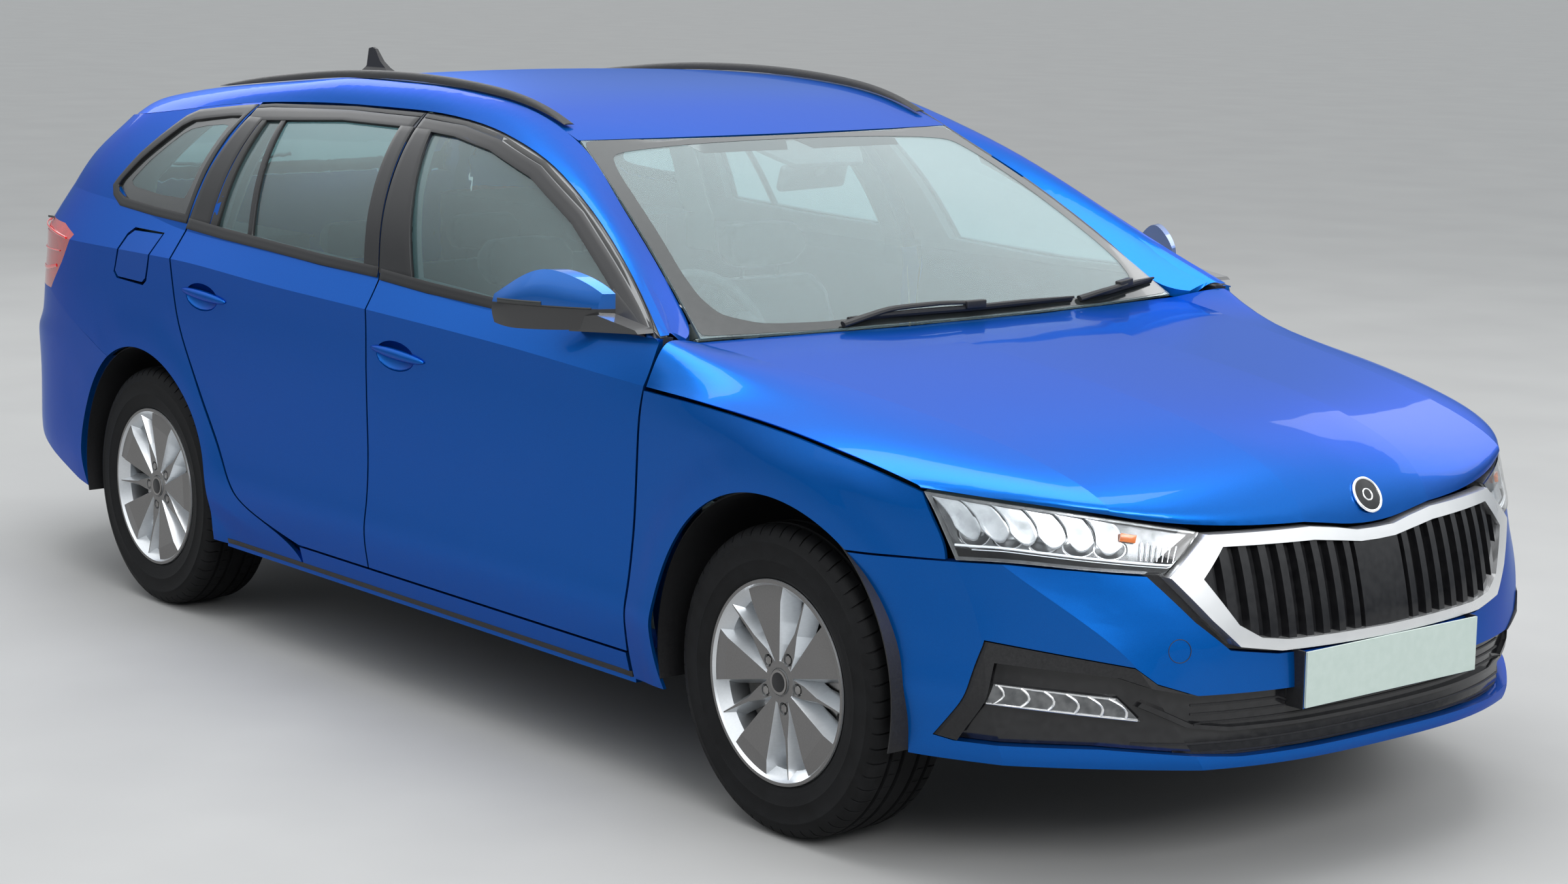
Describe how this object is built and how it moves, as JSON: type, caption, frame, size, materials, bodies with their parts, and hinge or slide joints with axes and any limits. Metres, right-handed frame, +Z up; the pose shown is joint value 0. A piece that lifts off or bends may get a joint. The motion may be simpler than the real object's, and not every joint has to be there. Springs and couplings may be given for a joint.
{
  "type": "station wagon",
  "caption": "Compact station wagon with opening doors, bonnet, tailgate and fuel flap, turning wheels and steered front wheels.",
  "frame": {"origin": "middle of the bounding box at ground level", "axes": "+X towards the front of the car, +Y to its left, +Z up"},
  "size_m": [4.6877, 2.0112, 1.493],
  "materials": {
    "body_paint": "metallic gloss",
    "clear_glass": "gloss",
    "dark_plastic": "satin",
    "gloss_black": "gloss",
    "bright_chrome": "polished",
    "lamp_clear": "gloss",
    "lamp_red": "gloss",
    "wheel_alloy": "satin",
    "tyre_rubber": "matt",
    "steel": "satin",
    "iron": "matt",
    "seat_cloth": "matt",
    "plate_pale": "satin"
  },
  "bodies": {
    "body": {"side_frame_right": "body_paint", "side_frame_left": "body_paint", "roof_panel": "body_paint", "roof_rails": "dark_plastic", "roof_antenna": "dark_plastic", "windscreen": "clear_glass", "quarter_glass": "clear_glass", "wing_right": "body_paint", "wing_left": "body_paint", "front_bumper": "body_paint", "bumper_trims": "dark_plastic", "fog_lamps": "lamp_clear", "lower_grille": "gloss_black", "grille_frame": "bright_chrome", "grille_slats": "gloss_black", "headlamps": "gloss_black", "headlamp_lenses": "clear_glass", "lamp_reflectors": "bright_chrome", "front_plate": "plate_pale", "rear_bumper": "body_paint", "tail_lamps": "lamp_red", "front_liners": "dark_plastic", "rear_liners": "dark_plastic", "floor_pan": "steel", "bulkhead": "steel", "scuttle_panel": "dark_plastic", "engine_block": "iron", "radiator_panel": "dark_plastic", "dashboard": "dark_plastic", "front_seats": "seat_cloth", "rear_seats": "seat_cloth", "front_subframe": "steel", "rear_axle": "steel"},
    "bonnet": {"bonnet_panel": "body_paint"},
    "tailgate": {"tailgate_panel": "body_paint", "tailgate_glass": "clear_glass"},
    "flap": {"fuel_flap": "body_paint"},
    "front_door_right": {"door_front_right": "body_paint", "glass_front_right": "clear_glass", "mirror_right": "body_paint"},
    "front_door_left": {"door_front_left": "body_paint", "glass_front_left": "clear_glass", "mirror_left": "body_paint"},
    "rear_door_right": {"door_rear_right": "body_paint", "glass_rear_right": "clear_glass"},
    "rear_door_left": {"door_rear_left": "body_paint", "glass_rear_left": "clear_glass"},
    "knuckle_right": {"knuckle_right": "iron"},
    "knuckle_left": {"knuckle_left": "iron"},
    "wheel_front_right": {"tyre_front_right": "tyre_rubber", "rim_front_right": "wheel_alloy"},
    "wheel_front_left": {"tyre_front_left": "tyre_rubber", "rim_front_left": "wheel_alloy"},
    "wheel_rear_right": {"tyre_rear_right": "tyre_rubber", "rim_rear_right": "wheel_alloy"},
    "wheel_rear_left": {"tyre_rear_left": "tyre_rubber", "rim_rear_left": "wheel_alloy"}
  },
  "joints": [
    {"name": "bonnet_hinge", "type": "hinge", "parent": "body", "child": "bonnet", "pos_m": [1, 0, 0.985], "axis": [0, -1, 0], "range_deg": [0, 50]},
    {"name": "tailgate_hinge", "type": "hinge", "parent": "body", "child": "tailgate", "pos_m": [-1.709, 0, 1.383], "axis": [0, 1, 0], "range_deg": [0, 75]},
    {"name": "fuel_flap_hinge", "type": "hinge", "parent": "body", "child": "flap", "pos_m": [-1.09, -0.915, 0.96], "axis": [0, 0, 1], "range_deg": [0, 80]},
    {"name": "front_door_right_hinge", "type": "hinge", "parent": "body", "child": "front_door_right", "pos_m": [1.08, -0.916, 0.65], "axis": [0, 0, 1], "range_deg": [0, 65]},
    {"name": "front_door_left_hinge", "type": "hinge", "parent": "body", "child": "front_door_left", "pos_m": [1.08, 0.916, 0.65], "axis": [0, 0, -1], "range_deg": [0, 65]},
    {"name": "rear_door_right_hinge", "type": "hinge", "parent": "body", "child": "rear_door_right", "pos_m": [-0.019, -0.916, 0.65], "axis": [0, 0, 1], "range_deg": [0, 62]},
    {"name": "rear_door_left_hinge", "type": "hinge", "parent": "body", "child": "rear_door_left", "pos_m": [-0.019, 0.916, 0.65], "axis": [0, 0, -1], "range_deg": [0, 62]},
    {"name": "steer_left", "type": "hinge", "parent": "body", "child": "knuckle_left", "pos_m": [1.4645, 0.752, 0.326], "axis": [0, 0, 1], "range_deg": [-32, 32]},
    {"name": "steer_right", "type": "hinge", "parent": "body", "child": "knuckle_right", "pos_m": [1.4645, -0.752, 0.326], "axis": [0, 0, 1], "range_deg": [-32, 32]},
    {"name": "wheel_front_left_spin", "type": "hinge", "parent": "knuckle_left", "child": "wheel_front_left", "pos_m": [1.4645, 0.7715, 0.326], "axis": [0, 1, 0], "continuous": true},
    {"name": "wheel_front_right_spin", "type": "hinge", "parent": "knuckle_right", "child": "wheel_front_right", "pos_m": [1.4645, -0.7715, 0.326], "axis": [0, 1, 0], "continuous": true},
    {"name": "wheel_rear_left_spin", "type": "hinge", "parent": "body", "child": "wheel_rear_left", "pos_m": [-1.2215, 0.7715, 0.326], "axis": [0, 1, 0], "continuous": true},
    {"name": "wheel_rear_right_spin", "type": "hinge", "parent": "body", "child": "wheel_rear_right", "pos_m": [-1.2215, -0.7715, 0.326], "axis": [0, 1, 0], "continuous": true}
  ],
  "couplings": [
    {"joint": "steer_right", "follows": "steer_left", "ratio": 1}
  ]
}
